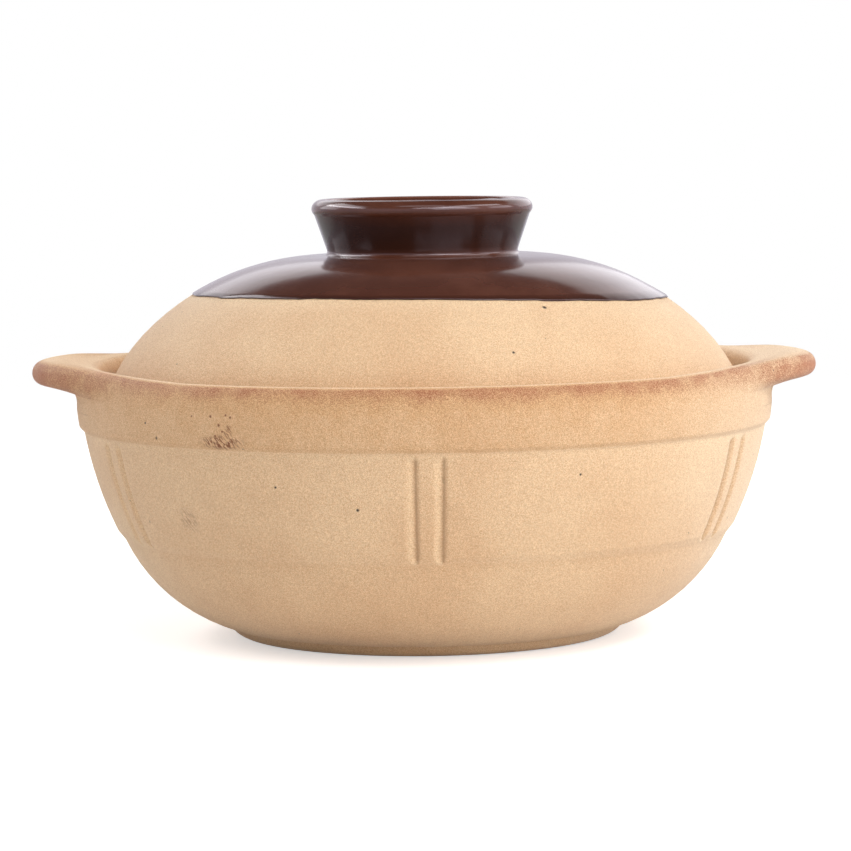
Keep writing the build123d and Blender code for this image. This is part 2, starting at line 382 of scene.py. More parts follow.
def flame_and_painted_lines_at(height):
    """How strongly the flame browned the bowl's outside at a height, with the painted shade and highlight
    lines at the steps and the crest.
    """
    for (low, first), (high, last) in zip(FLAME_AND_PAINTED_LINE_STOPS, FLAME_AND_PAINTED_LINE_STOPS[1:]):
        if height < high:
            return first + (last - first) * max(0.0, height - low) / (high - low)
    return FLAME_AND_PAINTED_LINE_STOPS[-1][1]


PLAY_TOP, PLAY_FADE, PLAY_RADIUS = 84, 8, 30


def play_at(radius, height):
    """How freely the wall wanders here: less near the axis, and not at the rim, which lid and ears meet."""
    return clamped((PLAY_TOP - height) / PLAY_FADE) * min(1.0, radius / PLAY_RADIUS)


# ---------------------------------------------------------------- node trees


class Value:
    """What a node gives, to be reckoned with like a plain number."""

    def __init__(self, nodes, socket):
        self.nodes, self.socket = nodes, socket

    def __add__(self, other):
        return self.nodes.math("ADD", self, other)

    def __sub__(self, other):
        return self.nodes.math("SUBTRACT", self, other)

    def __rsub__(self, other):
        return self.nodes.math("SUBTRACT", other, self)

    def __mul__(self, other):
        return self.nodes.math("MULTIPLY", self, other)

    def __truediv__(self, other):
        return self.nodes.math("DIVIDE", self, other)

    def __rtruediv__(self, other):
        return self.nodes.math("DIVIDE", other, self)

    def __pow__(self, other):
        return self.nodes.math("POWER", self, other)

    def __gt__(self, other):
        return self.nodes.math("GREATER_THAN", self, other)

    def __lt__(self, other):
        return self.nodes.math("LESS_THAN", self, other)

    def at_least(self, other):
        return self.nodes.math("MAXIMUM", self, other)

    def at_most(self, other):
        return self.nodes.math("MINIMUM", self, other)


class Nodes:
    """Adds nodes to a tree and joins them."""

    def __init__(self, tree):
        self.tree = tree

    def join(self, value, socket):
        if isinstance(value, Value):
            self.tree.links.new(value.socket, socket)
        else:
            socket.default_value = value

    def add(self, kind, joins=None, **settings):
        node = self.tree.nodes.new(kind)
        for key, value in settings.items():
            setattr(node, key, value)
        for key, value in (joins or {}).items():
            self.join(value, node.inputs[key])
        return node

    def value(self, kind, output=0, joins=None, **settings):
        """What one output of a new node gives."""
        return Value(self, self.add(kind, joins, **settings).outputs[output])

    def math(self, operation, *values):
        return self.value("ShaderNodeMath", 0, dict(enumerate(values)), operation=operation)

    def vector(self, operation, *values):
        output = "Value" if operation in ("LENGTH", "DISTANCE", "DOT_PRODUCT") else "Vector"
        return self.value("ShaderNodeVectorMath", output, dict(enumerate(values)), operation=operation)

    def scaled(self, vector, scale):
        return self.value("ShaderNodeVectorMath", "Vector", {0: vector, "Scale": scale}, operation="SCALE")

    def axes(self, vector):
        """The X, Y and Z of a vector."""
        return [Value(self, socket) for socket in self.add("ShaderNodeSeparateXYZ", {0: vector}).outputs]

    def combined(self, x=0.0, y=0.0, z=0.0):
        return self.value("ShaderNodeCombineXYZ", 0, {"X": x, "Y": y, "Z": z})

    def ramp(self, value, low, high, first=0.0, last=1.0):
        """A smooth step of a value from low to high."""
        joins = {"Value": value, "From Min": low, "From Max": high, "To Min": first, "To Max": last}
        return self.value("ShaderNodeMapRange", "Result", joins, interpolation_type="SMOOTHSTEP")

    def blend(self, share, first, second):
        """A colour mixed from two colours."""
        node = self.add("ShaderNodeMix", data_type="RGBA")
        sockets = {socket.identifier: socket for socket in (*node.inputs, *node.outputs)}
        self.join(share, sockets["Factor_Float"])
        for colour, name in ((first, "A_Color"), (second, "B_Color")):
            self.join(colour if isinstance(colour, Value) else (*colour, 1.0), sockets[name])
        return Value(self, sockets["Result_Color"])

    def noise(self, place, size, detail=3.0, roughness=0.55, seed=0.0):
        joins = {"Vector": place, "W": seed, "Scale": 1 / size, "Detail": detail, "Roughness": roughness}
        return self.value("ShaderNodeTexNoise", 0, joins, noise_dimensions="4D")

    def spots(self, place, spacing, reach, share_without):
        """1 at scattered points, falling to 0 at their reach, with a share of the places left empty."""
        cells = self.add("ShaderNodeTexVoronoi", {"Vector": place, "Scale": 1 / spacing})
        distance, colour = (Value(self, cells.outputs[name]) for name in ("Distance", "Color"))
        wanted = self.value("ShaderNodeSeparateColor", 0, {0: colour}) > share_without
        return self.ramp(distance, *reach, 1.0, 0.0) * wanted

    def attribute(self, name):
        """A number that the mesh holds, in a material."""
        return self.value("ShaderNodeAttribute", "Fac", attribute_name=name)

    def named(self, name, kind="FLOAT"):
        """What the mesh holds under a name, in a geometry tree."""
        return self.value("GeometryNodeInputNamedAttribute", "Attribute", {"Name": name}, data_type=kind)

    def stored(self, mesh, name, value):
        """The mesh with a number stored on each of its points."""
        joins = {"Geometry": mesh, "Name": name}
        node = self.add("GeometryNodeStoreNamedAttribute", joins, data_type="FLOAT", domain="POINT")
        self.join(value, in_use(node.inputs))
        return Value(self, node.outputs[0])

    def light_rays(self):
        """Two values: 1 for the camera's rays, and 1 for the rays of gloss and glass."""
        path = self.add("ShaderNodeLightPath").outputs
        kinds = ("Is Camera Ray", "Is Glossy Ray", "Is Transmission Ray")
        camera, glossy, sent = (Value(self, path[kind]) for kind in kinds)
        return camera, glossy.at_least(sent)


def in_use(sockets):
    """The value socket that the node's data type leaves in use."""
    return next(socket for socket in sockets if socket.name == "Value" and socket.enabled)


def new_geometry_tree(name, wanted):
    """A geometry tree with named inputs, one geometry in and one out."""
    tree = bpy.data.node_groups.new(name, "GeometryNodeTree")
    tree.is_modifier = True
    tree.interface.new_socket("Outline", in_out="INPUT", socket_type="NodeSocketGeometry")
    for label, kind, default, words in wanted:
        socket = tree.interface.new_socket(label, in_out="INPUT", socket_type="NodeSocket" + kind)
        socket.description = words
        if default is not None:
            socket.default_value = default
    tree.interface.new_socket("Piece", in_out="OUTPUT", socket_type="NodeSocketGeometry")
    nodes = Nodes(tree)
    given = {socket.name: Value(nodes, socket) for socket in nodes.add("NodeGroupInput").outputs}
    return tree, nodes, given, nodes.add("NodeGroupOutput").inputs["Piece"]


TURNING_INPUTS = (
    ("Sides", "Int", 360, "Flat sides in a whole turn"),
    ("Crowding", "Float", 0.0, "How much closer together the sides are at each crowd, from 0 to below 1"),
    ("Crowds", "Int", 6, "Places in a turn where the sides crowd together"),
    ("First Crowd", "Float", 0.0, "Turn of the first of them, in radians"),
    ("Crowd Spread", "Float", 0.0, "How far they keep away from the right and left, in radians"),
    ("Wobble", "Float", 0.0, "How far the wall wanders in from a true circle, where the outline has play"),
    ("Hem Tilt", "Float", 0.0, "How far the hem runs down on the right"),
    ("Hem Sway", "Float", 0.0, "How far the hem sways twice in a turn"),
    ("Hem Ripple", "Float", 0.0, "Height of the small waves in the hem"),
    ("Seed", "Float", 0.0, "Picks another run of small waves"),
)
GROOVE_INPUTS = (
    ("Groove Pairs", "Int", 6, "Pairs of grooves in a turn"),
    ("First Pair", "Float", 0.0, "Turn of the first pair, in radians"),
    ("Pair Angle", "Float", 0.08, "Turn between the two grooves of a pair, in radians"),
    ("Pair Spread", "Float", 0.0, "How far the pairs keep away from the ears, in radians"),
    ("Groove Width", "Float", 0.004, "Width of a groove"),
    ("Groove Lean", "Float", 0.6, "Share of the width that the long wall of a groove takes"),
    ("Groove Depth", "Float", 0.0014, "Depth of a groove"),
    # The next input sets how much paler the long wall of a groove is painted, as a highlight on the wall that
    # faces the light.
    ("Groove Highlight", "Float", 3.0, "How pale the long wall is rubbed"),
    ("Groove Foot", "Float", 0.04, "Height of the middle of a groove's lower end"),
    ("Groove Top", "Float", 0.08, "Height of the middle of a groove's upper end"),
    ("Panel Foot", "Float", 0.04, "Height of the panel's lower edge, under which a groove runs out"),
    ("Panel Radius", "Float", 0.113, "Radius of that edge"),
    ("Panel Slope", "Float", 0.32, "How much the panel widens in its height"),
    ("Wall", "Float", 0.0085, "Thickness of the wall, which has no grooves on its inside"),
)
FINISH_INPUTS = (("Material", "Material", None, "Finish of the piece"),)

RIPPLE_SIZE = 0.2  # size of a small wave in the hem, on a circle of radius 1
GROOVE_RUN_OUT = 0.48  # how far in, for its height, a groove runs out under the panel's edge
# Painted shade: across each groove, where the dark line at the foot of its long wall starts and where it is
# full.
GROOVE_SHADE_ACROSS = (-0.17, -0.04)  # where the grime starts and is full, in widths from a groove's middle


def add_turning(nodes, given):
    """Nodes that turn the outline about the upright axis. Returns the mesh."""
    outline, sides = given["Outline"], given["Sides"]
    count = nodes.value("GeometryNodeAttributeDomainSize", "Point Count", {"Geometry": outline})
    rows = sides + 1.0
    grid = nodes.value("GeometryNodeMeshGrid", "Mesh", {"Vertices X": count, "Vertices Y": rows})
    index = nodes.value("GeometryNodeInputIndex")
    column = nodes.math("FLOOR", (index + 0.5) / rows)
    even = (index - column * rows) / sides * math.tau
    swing = nodes.math("SINE", (even - given["First Crowd"]) * given["Crowds"])
    turn = even - swing * given["Crowding"] / given["Crowds"]
    turn = turn - nodes.math("SINE", turn * 2.0) * given["Crowd Spread"]

    def sampled(kind, value):
        node = nodes.add("GeometryNodeSampleIndex", {"Geometry": outline}, data_type=kind, domain="POINT")
        nodes.join(value, in_use(node.inputs))
        nodes.join(column, node.inputs["Index"])
        return Value(nodes, in_use(node.outputs))

    place = sampled("FLOAT_VECTOR", nodes.value("GeometryNodeInputPosition"))
    hem = sampled("FLOAT_VECTOR", nodes.named("hem", "FLOAT_VECTOR"))
    play, tone = (sampled("FLOAT", nodes.named(name)) for name in ("play", "tone"))

    cos = nodes.math("COSINE", turn)
    away = nodes.combined(cos, nodes.math("SINE", turn))
    sway = nodes.math("COSINE", turn * 2.0) * given["Hem Sway"]
    ripple = nodes.noise(away, RIPPLE_SIZE, 3.0, 0.6, given["Seed"])
    wave = cos * given["Hem Tilt"] + sway + (ripple - 0.5) * (given["Hem Ripple"] * 2.0)
    out, _, height = nodes.axes(nodes.vector("ADD", place, nodes.scaled(hem, wave)))

    roll = nodes.math("SINE", turn * 2.0 + 1.1)
    swell = nodes.math("SINE", turn * 5.0 + height * 60.0)
    wander = (roll * 0.3 + swell * 0.2 + 0.5) * (given["Wobble"] * play)
    ring = nodes.scaled(away, (out - wander).at_least(0.0))
    place = nodes.vector("ADD", ring, nodes.combined(z=height))
    joins = {"Geometry": nodes.stored(grid, "tone", tone), "Position": place}
    return nodes.value("GeometryNodeSetPosition", 0, joins)


def add_finish(nodes, mesh, given, outcome):
    """Nodes that close the seam and the poles and give the piece its finish."""
    mesh = nodes.value("GeometryNodeMergeByDistance", 0, {"Geometry": mesh, "Distance": 0.00001})
    mesh = nodes.value("GeometryNodeSetShadeSmooth", 0, {"Geometry": mesh})
    mesh = nodes.value("GeometryNodeRealizeInstances", 0, {"Geometry": mesh})
    mesh = nodes.value("GeometryNodeSetMaterial", 0, {"Geometry": mesh, "Material": given["Material"]})
    nodes.join(mesh, outcome)


def turning_tree():
    """A tree that turns an outline into a round piece."""
    tree, nodes, given, outcome = new_geometry_tree("Turned Piece", (*TURNING_INPUTS, *FINISH_INPUTS))
    add_finish(nodes, add_turning(nodes, given), given, outcome)
    return tree


def grooved_tree():
    """A tree that turns an outline and presses pairs of upright grooves into it."""
    wanted = (*TURNING_INPUTS, *GROOVE_INPUTS, *FINISH_INPUTS)
    tree, nodes, given, outcome = new_geometry_tree("Grooved Bowl", wanted)
    mesh = add_turning(nodes, given)
    x, y, z = nodes.axes(nodes.value("GeometryNodeInputPosition"))
    flat = nodes.combined(x, y)
    radius = nodes.vector("LENGTH", flat)

    # How far each point lies from the nearest groove's middle across it, in widths, and how far past
    # its ends, in half widths.
    turn = nodes.math("ARCTAN2", y, x)
    step = math.tau / given["Groove Pairs"]
    which = nodes.math("ROUND", (turn - given["First Pair"]) / step)
    middle = given["First Pair"] + which * step
    turn = turn - (middle - nodes.math("SINE", middle * 2.0) * given["Pair Spread"])
    turn = turn - nodes.math("SIGN", turn) * (given["Pair Angle"] / 2.0)
    across = turn * radius / given["Groove Width"]
    long_wall = across * -1.0 / given["Groove Lean"]
    short_wall = across / (1.0 - given["Groove Lean"])
    past = (given["Groove Foot"] - z).at_least(z - given["Groove Top"]).at_least(0.0)
    past = past / (given["Groove Width"] / 2.0)
    reach = nodes.math("SQRT", long_wall.at_least(short_wall) ** 2.0 + past ** 2.0)
    dent = nodes.ramp((1.0 - reach).at_least(0.0), 0.0, 1.0)

    # Only the outside is pressed in, and under the panel's edge a groove runs out.
    core = given["Panel Radius"] + (z - given["Panel Foot"]) * given["Panel Slope"] - given["Wall"] / 2.0
    outside = radius > core
    under = (given["Panel Foot"] - z).at_least(0.0)
    missing = (given["Panel Radius"] - under * GROOVE_RUN_OUT - radius).at_least(0.0) * (under > 0.0)
    push = (dent * given["Groove Depth"] - missing).at_least(0.0) * outside * -1.0
    push = nodes.scaled(nodes.vector("NORMALIZE", flat), push)

    # The long wall is painted paler as a highlight, and painted shade lies at its foot.
    painted_highlight = dent * (1.0 - dent) * (across < 0.0) * outside * given["Groove Highlight"]
    mesh = nodes.stored(mesh, "tone", nodes.named("tone") - painted_highlight)
    groove_shade = nodes.ramp(across, *GROOVE_SHADE_ACROSS) * nodes.ramp(dent, 0.1, 0.9)
    mesh = nodes.stored(mesh, "groove_shade", groove_shade * outside)
    mesh = nodes.value("GeometryNodeSetPosition", 0, {"Geometry": mesh, "Offset": push})
    add_finish(nodes, mesh, given, outcome)
    return tree


def group_named(name, make):
    """The node group of this name, made the first time that it is wanted."""
    return bpy.data.node_groups.get(name) or make()


def linked_object(name, data):
    """A new object in the scene."""
    made = bpy.data.objects.new(name, data)
    bpy.context.scene.collection.objects.link(made)
    return made


def set_numbers(mesh, name, numbers):
    """Stores a number on each point of a mesh."""
    mesh.attributes.new(name, "FLOAT", "POINT").data.foreach_set("value", numbers)


def turned_piece(name, points, tree, values, tones=None, play=None, hem=None):
    """Turns an outline, in millimetres, by a tree and returns the finished object with a plain mesh."""
    mesh = bpy.data.meshes.new(name + "_outline")
    edges = [(i, i + 1) for i in range(len(points) - 1)]
    mesh.from_pydata([(r * MM, 0, z * MM) for r, z in points], edges, [])
    for label, listed in (("tone", tones), ("play", play)):
        set_numbers(mesh, label, listed or [0.0] * len(points))
    flat = [axis for way in (hem or [(0, 0)] * len(points)) for axis in (way[0], 0.0, way[1])]
    mesh.attributes.new("hem", "FLOAT_VECTOR", "POINT").data.foreach_set("vector", flat)
    piece = linked_object(name, mesh)
    modifier = piece.modifiers.new("Turning", "NODES")
    modifier.node_group = tree
    items = [item for item in tree.interface.items_tree if getattr(item, "in_out", "") == "INPUT"]
    sockets = {item.name: item.identifier for item in items}
    for label, value in values.items():
        modifier[sockets[label]] = value
    bpy.context.view_layer.update()
    shaped = bpy.data.meshes.new_from_object(piece.evaluated_get(bpy.context.evaluated_depsgraph_get()))
    piece.modifiers.remove(modifier)
    piece.data = shaped
    shaped.name = name
    bpy.data.meshes.remove(mesh)
    if not shaped.polygons:
        raise RuntimeError(name + " has no faces")
    return piece


def grid_piece(name, rows, material, tones):
    """A closed skin over rows of points, each a closed loop, with the first and last loop filled."""
    width = len(rows[0])
    corners = [tuple(axis * MM for axis in point) for row in rows for point in row]
    faces = []
    for start in range(0, (len(rows) - 1) * width, width):
        for j in range(width):
            k = (j + 1) % width
            faces.append((start + j, start + k, start + width + k, start + width + j))
    faces.append(tuple(reversed(range(width))))
    faces.append(tuple(range((len(rows) - 1) * width, len(rows) * width)))
    mesh = bpy.data.meshes.new(name)
    mesh.from_pydata(corners, [], faces)
    set_numbers(mesh, "tone", [tone for row in tones for tone in row])
    mesh.shade_smooth()
    mesh.materials.append(material)
    return linked_object(name, mesh)


def join_frame(piece, body, node):
    """Lets a finished piece ride on its body in place of its solid."""
    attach(piece, body)
    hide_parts(node)


# ---------------------------------------------------------------- finishes

# Marks on the fired clay: the middle of each and its reach, in millimetres.
IRON_PITS = (
    ((-92.1, -86.6, 80.0), 0.84), ((-96.3, -82.8, 84.9), 0.61), ((-96.4, -65.4, 48.9), 0.81),
    ((41.9, -77.6, 122.7), 1.08), ((30.5, -99.9, 108.7), 0.68), ((-22.9, -118.0, 57.4), 0.74),
    ((-50.7, -111.4, 64.8), 0.61), ((52.4, -111.6, 67.9), 0.57),
)
RUST_SPOTS = (
    ((-72.7, -104.4, 88.6), 0.65), ((-69.8, -106.3, 85.7), 0.7), ((-71.1, -105.2, 82.0), 0.6),
    ((-65.7, -108.8, 88.5), 0.6), ((-79.3, -99.4, 88.4), 0.45), ((-67.3, -107.8, 89.2), 0.55),
    ((-68.6, -107.0, 83.6), 0.55),
)
# The middle and reach of each scuff, and how rusty it is.
SCUFFS = (
    ((-69.0, -106.2, 79.8), (12.0, 11.0, 3.2), 1.0),
    ((-81.5, -84.8, 51.4), (6.0, 6.0, 6.5), 0.42),
    ((-66.5, -107.8, 83.5), (2.4, 2.4, 3.2), 0.9),
)
SCUFF_DOWN, SCUFF_OVER = (0.54, -0.35, -0.77), (0.65, -0.42, 0.64)  # along and across a scuff's strokes
CRUMB = ((6.4, -121.9, 67.6), (0.9, 3.0, 1.6))

# The colour of each kind of mark, and how much of the clay or glaze it covers.
RUST, RUST_SHARE = (0.21, 0.055, 0.02), 0.9
# Painted shade: the dark brown laid at the foot of each groove's long wall, and how much of the clay it
# covers.
GROOVE_SHADE, GROOVE_SHADE_SHARE = (0.34, 0.19, 0.1), 0.36
PINHOLE, PINHOLE_SHARE = (0.5, 0.36, 0.27), 0.6
IRON_SHARE = 0.92
# Painted light: from where to where on the right the clay is painted paler, and how much.
PAINTED_LIGHT_SIDE, PAINTED_LIGHT_SHARE = (60 * MM, 126 * MM), 0.38  # from where to where on the right the ash thickens
DARK_SAND, PALE_SAND = (0.8, 0.7, 0.61), (1.15, 1.27, 1.37)  # what a grain makes of the clay's colour
GLOSS_TINT = (0.95, 0.9, 1.0, 1.0)


def in_metres(sizes):
    return tuple(size * MM for size in sizes)


def new_material(name):
    """A material with nothing but its shader and output."""
    material = bpy.data.materials.new(name)
    material.use_nodes = True
    return material, Nodes(material.node_tree), material.node_tree.nodes["Principled BSDF"]


def near(nodes, place, spot, reach):
    """1 at a spot of the pot, falling to 0 at its reach, which is one size or one for each axis."""
    if isinstance(reach, tuple):
        gap = nodes.vector("DIVIDE", nodes.vector("SUBTRACT", place, in_metres(spot)), in_metres(reach))
        gap = nodes.vector("LENGTH", gap)
    else:
        gap = nodes.vector("DISTANCE", place, in_metres(spot)) / (reach * MM)
    return nodes.ramp(gap, 0.35, 1.0, 1.0, 0.0)


def clay_material(look):
    """Bare fired clay: cloudy buff with sand grains and iron specks, browned where the tone says so."""
    material, nodes, shader = new_material("Bare Fired Clay")
    place = nodes.value("ShaderNodeTexCoord", "Object")
    tone = nodes.attribute("tone")
    clouds = nodes.noise(place, 45 * MM, 3.0, 0.5, 1.0)
    patches = nodes.noise(place, 9 * MM, 3.0, 0.6, 2.0)
    grain = nodes.noise(place, look.grain * 2.6, 3.0, 0.7, 3.0)
    sand = nodes.noise(place, look.grain, 2.0, 0.6, 4.0)
    colour = nodes.blend(nodes.ramp(clouds, 0.34, 0.66, 0.12, 0.62), look.buff, look.pale)
    colour = nodes.blend(nodes.ramp(patches, 0.5, 0.78, 0.0, 0.12), colour, look.ochre)

    # Heat browns the clay to amber and then to flame, a tone below 0 is paler (painted highlights under the
    # steps, along the crest and on the grooves, and a band under the lid's glaze line), and the right side is
    # painted paler as painted light, where the light falls on it.
    lick = nodes.ramp(patches, 0.3, 0.7, 0.8, 1.15) * nodes.ramp(sand, 0.3, 0.7, 1.3, 0.7)
    heat = tone * lick * 2.0
    licked = (heat - 1.0).at_most(1.0).at_least(0.0)
    brushed = nodes.blend(heat.at_most(1.0).at_least(0.0), colour, look.amber)
    colour = nodes.blend(licked, brushed, look.flame)
    colour = nodes.blend((tone * -1.0).at_least(0.0), colour, look.pale)
    painted_light_share = nodes.ramp(nodes.axes(place)[0], *PAINTED_LIGHT_SIDE, 0.0, PAINTED_LIGHT_SHARE) * (1.0 - licked)
    colour = nodes.blend(painted_light_share, colour, look.painted_light)
    colour = nodes.vector("MULTIPLY", colour, nodes.blend(nodes.ramp(sand, 0.3, 0.7), DARK_SAND, PALE_SAND))
    colour = nodes.scaled(colour, nodes.ramp(grain, 0.3, 0.72, 1.06, 0.93))
    # Painted shade at the foot of each groove's long wall.
    colour = nodes.blend(nodes.attribute("groove_shade") * GROOVE_SHADE_SHARE, colour, GROOVE_SHADE)

    # The scuffs are hatched by a noise drawn out along their strokes.
    down, over = (nodes.vector("DOT_PRODUCT", place, way) for way in (SCUFF_DOWN, SCUFF_OVER))
    hatching = nodes.combined(down * 0.2, over)
    scuffs = None
    for spot, reach, share in SCUFFS:
        scuff = near(nodes, place, spot, reach) * share
        scuffs = scuffs.at_least(scuff) if scuffs else scuff
    rust = scuffs * nodes.ramp(nodes.noise(hatching, 0.5 * MM, 1.0, 0.5, 5.0), 0.46, 0.56)
    for spot, reach in RUST_SPOTS:
        rust = rust.at_least(near(nodes, place, spot, reach))
    colour = nodes.blend(rust * RUST_SHARE, colour, RUST)
    specks = nodes.spots(place, 8.5 * MM, (0.02, 0.042), 0.62)
    for spot, reach in IRON_PITS:
        specks = specks.at_least(near(nodes, place, spot, reach))
    colour = nodes.blend(specks * IRON_SHARE, colour, look.iron)
    nodes.join(colour, shader.inputs["Base Color"])
    nodes.join(nodes.ramp(grain, 0.3, 0.7, 0.6, 0.78), shader.inputs["Roughness"])

    height = grain * 0.5 + sand * 0.5 - specks * 1.2 + near(nodes, place, *CRUMB) * 2.2
    bump = nodes.value("ShaderNodeBump", 0, {"Strength": 0.8, "Distance": 0.3 * MM, "Height": height})
    slow = {"Strength": 0.35, "Distance": 1.2 * MM, "Height": patches, "Normal": bump}
    nodes.join(nodes.value("ShaderNodeBump", 0, slow), shader.inputs["Normal"])
    shader.inputs["Diffuse Roughness"].default_value = 0.5
    shader.inputs["Specular IOR Level"].default_value = 0.3
    shader.inputs["Sheen Weight"].default_value = 0.18
    shader.inputs["Sheen Roughness"].default_value = 0.45
    return material


def glaze_material(look):
    """Glossy brown glaze, redder where it has run thin, darker where it pooled and where shade is painted on
    the knob's neck, with pinholes and rings.
    """
    material, nodes, shader = new_material("Brown Glaze")
    place = nodes.value("ShaderNodeTexCoord", "Object")
    tone = nodes.attribute("tone")
    clouds = nodes.noise(place, 16 * MM, 4.0, 0.6, 7.0)
    flecks = nodes.noise(place, 1.1 * MM, 3.0, 0.7, 8.0)
    thin = nodes.ramp(clouds, 0.35, 0.7, 0.0, 0.22) + nodes.ramp(flecks, 0.55, 0.75, 0.0, 0.06) + tone
    colour = nodes.blend(thin.at_most(1.0).at_least(0.0), look.brown, look.thin)
    colour = nodes.blend((tone * -1.0).at_least(0.0), colour, look.darkest_glaze)
    pinholes = nodes.spots(place, 10 * MM, (0.014, 0.026), 0.86)
    colour = nodes.blend(pinholes * PINHOLE_SHARE, colour, PINHOLE)
    nodes.join(colour, shader.inputs["Base Color"])
    nodes.join(nodes.ramp(clouds, 0.3, 0.75, 0.13, 0.17), shader.inputs["Roughness"])

    x, y, _ = nodes.axes(place)
    ringed = nodes.combined(x * 0.05, y * 0.05, nodes.vector("LENGTH", nodes.combined(x, y)))
    rings = nodes.noise(ringed, 5 * MM, 1.0, 0.5, 10.0)
    height = nodes.noise(place, 7 * MM, 1.0, 0.5, 9.0) + rings * 0.6 - pinholes * 0.3
    bump = nodes.value("ShaderNodeBump", 0, {"Strength": 0.14, "Distance": 0.3 * MM, "Height": height})
    nodes.join(bump, shader.inputs["Normal"])
    shader.inputs["IOR"].default_value = 1.5
    shader.inputs["Specular Tint"].default_value = GLOSS_TINT
    return material


def finish_named(name):
    """A finish that the materials operator has made."""
    material = bpy.data.materials.get(name)
    if material is None:
        raise RuntimeError("the finishes come first: " + name + " is missing")
    return material


# ---------------------------------------------------------------- operators


class SANDPOT_OT_finishes(bpy.types.Operator):
    """Make the bare clay and the brown glaze"""

    bl_idname = "sandpot.finishes"
    bl_label = "Clay and Glaze"

    def execute(self, context):
        clay_material(context.scene.sandpot_clay)
        glaze_material(context.scene.sandpot_glaze)
        return {"FINISHED"}


# The middle and reach of the places where the bowl's outline needs more points: the panel's foot, the
# grooves' tops and the band's foot.
CROWDED = (((112.5, 39.2), 2.8), ((124.5, 74.8), 2.4), (BAND_FOOT, 2.0))
HIDDEN_COAT = 0.2  # how far the inner glaze reaches into the clay, so that no gap shows


def coat_side(inset, below):
    """One side of the inner glaze, this far in from the clay and up to this far below the ledge."""
    mouth = MOUTH_RADIUS - inset
    points = [*hollow_outline(inset), (mouth, LEDGE_FOOT_HEIGHT), (mouth, LEDGE_HEIGHT - below)]
    return thinned(softened(points, 0.8))


class SANDPOT_OT_bowl(bpy.types.Operator):
    """Turn the stepped bowl, press its grooves and coat its inside"""

    bl_idname = "sandpot.bowl"
    bl_label = "Bowl"

    def execute(self, context):
        size = context.scene.sandpot_bowl
        outline = thinned(bowl_outline(size.softness / MM), 5.5, 5.0, CROWDED)
        mouth = max(range(len(outline)), key=lambda i: outline[i][1])
        tones = [flame_and_painted_lines_at(z) if i >= mouth else INSIDE_TONE for i, (r, z) in enumerate(outline)]
        end = size.groove_width / 2
        slope = (PANEL_TOP[0] - PANEL_FOOT[0]) / (PANEL_TOP[1] - PANEL_FOOT[1])
        values = {
            "Sides": size.sides, "Crowding": size.crowding, "Crowds": size.groove_pairs,
            "First Crowd": size.groove_first_angle, "Crowd Spread": size.groove_pair_spread,
            "Wobble": size.wobble, "Groove Pairs": size.groove_pairs, "First Pair": size.groove_first_angle,
            "Pair Angle": size.groove_pair_angle, "Pair Spread": size.groove_pair_spread,
            "Groove Width": size.groove_width, "Groove Lean": size.groove_lean,
            "Groove Depth": size.groove_depth, "Groove Foot": BOWL_TOP[1] * MM + end,
            "Groove Top": (PANEL_TOP[1] - 0.2) * MM - end, "Panel Foot": PANEL_FOOT[1] * MM,
            "Panel Radius": PANEL_FOOT[0] * MM, "Panel Slope": slope, "Wall": WALL * MM,
            "Material": finish_named("Bare Fired Clay"),
        }
        tree = group_named("Grooved Bowl", grooved_tree)
        play = [play_at(*p) for p in outline]
        bowl = turned_piece("stepped_bowl", outline, tree, values, tones, play)
        join_frame(bowl, "pot", "pot_bowl")

        points = [*coat_side(COAT, 2.2), *reversed(coat_side(-HIDDEN_COAT, 1.9))]
        tones = [0.5 if z > LEDGE_FOOT_HEIGHT else 0.0 for r, z in points]
        hem = [(0, -1 if z > LEDGE_HEIGHT - 2.8 else 0) for r, z in points]
        values = {
            "Sides": 300, "Wobble": size.wobble, "Hem Ripple": 0.35 * MM, "Seed": 2.0,
            "Material": finish_named("Brown Glaze"),
        }
        tree = group_named("Turned Piece", turning_tree)
        play = [play_at(*p) for p in points]
        coat = turned_piece("bowl_inside_glaze", points, tree, values, tones, play, hem)
        join_frame(coat, "pot", "bowl_glaze")
        return {"FINISHED"}


# The ear's middle section, from the gallery's wall over the top and the tip, back under it to the band.
EAR_CURVE = (
    (118.0, 91.6), (117.95, 94.7), (119.05, 97.9), (121.9, 99.15), (127.0, 99.95), (133.0, 101.0),
    (138.0, 101.75), (141.3, 101.2), (143.1, 99.6), (143.75, 97.3), (143.15, 95.0), (141.2, 93.4),
    (137.0, 92.5), (132.4, 91.6), (129.4, 91.0), (128.0, 90.0), (127.45, 88.4), (127.35, 86.2),
    (127.3, 84.0),
)
EAR_CREST, EAR_TIP, EAR_CORNER = 3, 9, 15
EAR_TIP_HEIGHT, RIM_TIP_HEIGHT = EAR_CURVE[EAR_TIP][1], 95.0  # the tip, and where the plain rim meets it
EAR_CUTS = (16, 24, 20, 9)  # points from the gallery to the crest, the tip, the corner and the band
CURVE_PIECES = 12
EAR_ROWS = 60  # sections on each side of an ear's middle
EAR_HALF_ANGLE, EAR_FLARE_POWER, EAR_LIFT_POWER = 36.0, 3.2, 1.5
EAR_REACH_ANGLE, RIM_RISE = 52.0, 1.15
SUNK, TUCKED = 1.2, 0.08  # how deep the ear's inner skin and its outer skin's ends lie in the bowl


def between(p, q, r, s, t):
    """The value a share t of the way from q to r, on a smooth curve through all four."""
    bend, twist = 2 * p - 5 * q + 4 * r - s, 3 * q - p - 3 * r + s
    return 0.5 * (2 * q + (r - p) * t + bend * t * t + twist * t ** 3)


